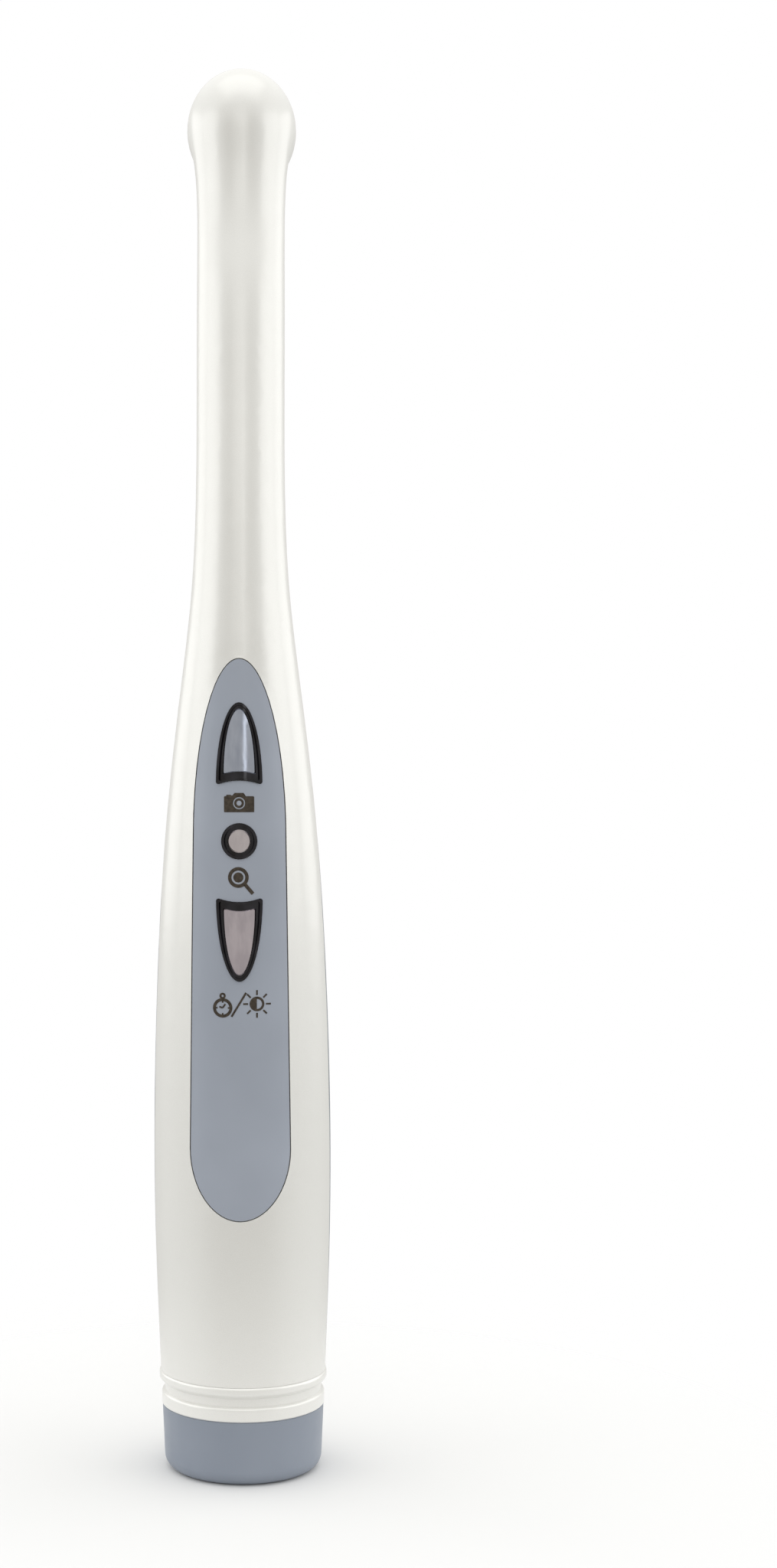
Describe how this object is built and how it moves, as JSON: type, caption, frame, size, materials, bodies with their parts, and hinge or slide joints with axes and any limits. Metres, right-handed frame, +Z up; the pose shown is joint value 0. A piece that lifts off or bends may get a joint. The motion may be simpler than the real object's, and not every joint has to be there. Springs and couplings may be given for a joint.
{
  "type": "intraoral camera",
  "caption": "Handheld intraoral camera: slim bowed handle with a ring-lit lens head, inlaid control panel, sprung push buttons, ribbed collar and screw base with a round cable socket.",
  "frame": {"origin": "centre of the base, at the mouth of the cable socket, on the surface the camera stands on", "axes": "+Z up the handle towards the head; the control panel faces -Y and the camera window faces +Y"},
  "size_m": [0.0254, 0.0285, 0.2034],
  "materials": {
    "white_shell": "pearl gloss",
    "collar_white": "pearl gloss",
    "side_trim_grey": "satin",
    "panel_grey": "soft satin",
    "frame_black_chrome": "dark mirror",
    "upper_button_metal": "mirror",
    "middle_button_metal": "satin",
    "lower_button_metal": "mirror",
    "rear_button_grey": "soft satin",
    "nameplate_silver": "satin",
    "clear_resin": "clear gloss",
    "cap_grey": "soft satin",
    "seal_rubber": "matte",
    "sticker_foil": "foil",
    "socket_steel": "satin",
    "socket_black": "matte",
    "contact_brass": "satin",
    "bezel_chrome": "mirror",
    "cover_clear": "clear gloss",
    "light_board": "solder mask",
    "light_chip": "phosphor",
    "barrel_black": "gloss",
    "lens_glass": "coated",
    "filter_glass": "clear",
    "barrel_brass": "gloss",
    "sensor_black": "satin",
    "board_green": "solder mask",
    "connector_plastic": "matte",
    "flex_amber": "film",
    "chip_black": "matte",
    "switch_metal": "satin",
    "switch_black": "matte",
    "screw_steel": "satin",
    "harness_sleeve": "matte"
  },
  "bodies": {
    "handle": {"front_shell": "white_shell", "rear_shell": "white_shell", "ribbed_collar": "collar_white", "side_trim_left": "side_trim_grey", "side_trim_right": "side_trim_grey", "control_panel": "panel_grey", "upper_button_frame": "frame_black_chrome", "lower_button_frame": "frame_black_chrome", "middle_button_ring": "frame_black_chrome", "nameplate": "nameplate_silver", "nameplate_window": "clear_resin", "base_cap": "cap_grey", "cap_seal": "seal_rubber", "inspection_sticker": "sticker_foil", "socket_shell": "socket_steel", "socket_insulator": "socket_black", "socket_contacts": "contact_brass", "socket_nut": "socket_steel", "head_bezel": "bezel_chrome", "led_cover": "cover_clear", "led_board": "light_board", "leds": "light_chip", "lens_barrel": "barrel_black", "front_lens": "lens_glass", "rear_lens": "lens_glass", "ir_filter": "filter_glass", "barrel_trim_ring": "barrel_brass", "image_sensor": "sensor_black", "sensor_board": "board_green", "sensor_connector": "connector_plastic", "flex_cable": "flex_amber", "main_board": "board_green", "processor_chip": "chip_black", "memory_chips": "chip_black", "flex_connector": "connector_plastic", "harness_connector": "connector_plastic", "front_switches": "switch_metal", "rear_switch": "switch_black", "board_screws": "screw_steel", "shell_screws": "screw_steel", "wire_harness": "harness_sleeve"},
    "upper_button_body": {"upper_button": "upper_button_metal"},
    "middle_button_body": {"middle_button": "middle_button_metal"},
    "lower_button_body": {"lower_button": "lower_button_metal"},
    "rear_button_body": {"rear_button": "rear_button_grey"}
  },
  "joints": [
    {"name": "upper_button_press", "type": "slide", "parent": "handle", "child": "upper_button_body", "axis": [0, 1, 0], "range_m": [0, 0.00035], "stiffness_N_per_m": 1500, "springref_m": -0.0003},
    {"name": "middle_button_press", "type": "slide", "parent": "handle", "child": "middle_button_body", "axis": [0, 1, 0], "range_m": [0, 0.00035], "stiffness_N_per_m": 1500, "springref_m": -0.0003},
    {"name": "lower_button_press", "type": "slide", "parent": "handle", "child": "lower_button_body", "axis": [0, 1, 0], "range_m": [0, 0.00035], "stiffness_N_per_m": 1500, "springref_m": -0.0003},
    {"name": "rear_button_press", "type": "slide", "parent": "handle", "child": "rear_button_body", "axis": [0, -1, 0], "range_m": [0, 0.00035], "stiffness_N_per_m": 1500, "springref_m": -0.0003}
  ]
}
